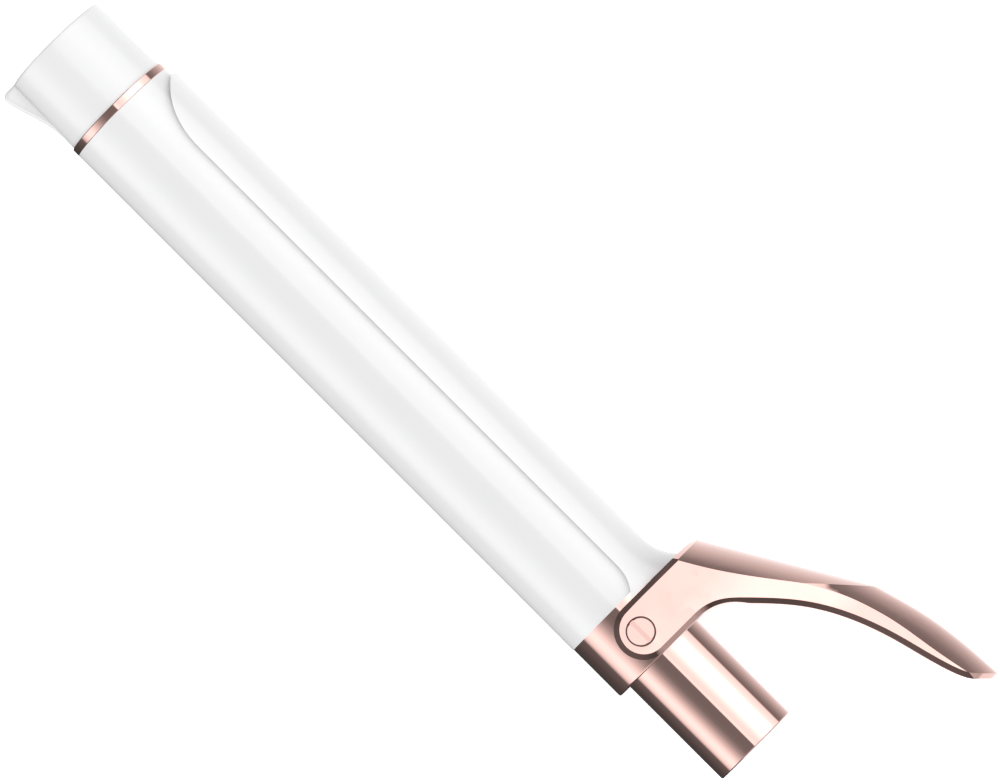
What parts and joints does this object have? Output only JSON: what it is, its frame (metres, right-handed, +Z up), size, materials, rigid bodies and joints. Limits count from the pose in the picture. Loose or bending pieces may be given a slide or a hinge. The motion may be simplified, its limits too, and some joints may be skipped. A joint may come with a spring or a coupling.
{
  "type": "clip barrel attachment for a curling iron",
  "caption": "Detachable clip barrel of a curling iron: white coated barrel with a spring clip, curved rose gold thumb lever, collar and plug-in stem.",
  "frame": {"origin": "centre of the stem's end face", "axes": "+X along the barrel axis from the stem to the cool tip, -Y towards the clip and its thumb lever, +Z up with the attachment lying on its side"},
  "size_m": [0.2888, 0.0771, 0.037],
  "materials": {
    "barrel_coating": "satin",
    "rose_gold": "polished",
    "clip_coating": "satin",
    "white_plastic": "gloss",
    "black_plastic": "matte",
    "aluminium": "satin",
    "steel": "satin",
    "brass": "satin",
    "heater_ceramic": "matte",
    "film": "gloss",
    "wire_insulation": "matte"
  },
  "bodies": {
    "base": {"barrel_tube": "barrel_coating", "cool_tip": "white_plastic", "tip_trim_ring": "rose_gold", "tip_plug": "black_plastic", "tip_screw": "steel", "collar": "rose_gold", "barrel_screws": "steel", "stem_sleeve": "rose_gold", "stem_lock_nut": "steel", "stem_liner": "black_plastic", "terminal_block": "black_plastic", "contact_studs": "brass", "heat_barrier": "heater_ceramic", "heat_spreader_upper": "aluminium", "heat_spreader_lower": "aluminium", "heater_film": "film", "electrode_upper": "aluminium", "electrode_lower": "aluminium", "ptc_stones": "heater_ceramic", "thermistor": "black_plastic", "thermal_fuse": "steel", "heater_leads": "wire_insulation", "sensor_leads": "wire_insulation", "pivot_screws": "rose_gold", "pivot_washers": "steel", "torsion_spring_upper": "steel", "torsion_spring_lower": "steel"},
    "clip": {"thumb_lever": "rose_gold", "curl_clip": "clip_coating", "clip_screws": "steel"}
  },
  "joints": [
    {"name": "clip_pivot", "type": "hinge", "parent": "base", "child": "clip", "pos_m": [0.04195, 0, 0], "axis": [0, 0, -1], "range_deg": [0, 25], "stiffness_Nm_per_rad": 0.25, "springref_deg": -45.84, "deforming": ["torsion_spring_upper", "torsion_spring_lower"]}
  ]
}
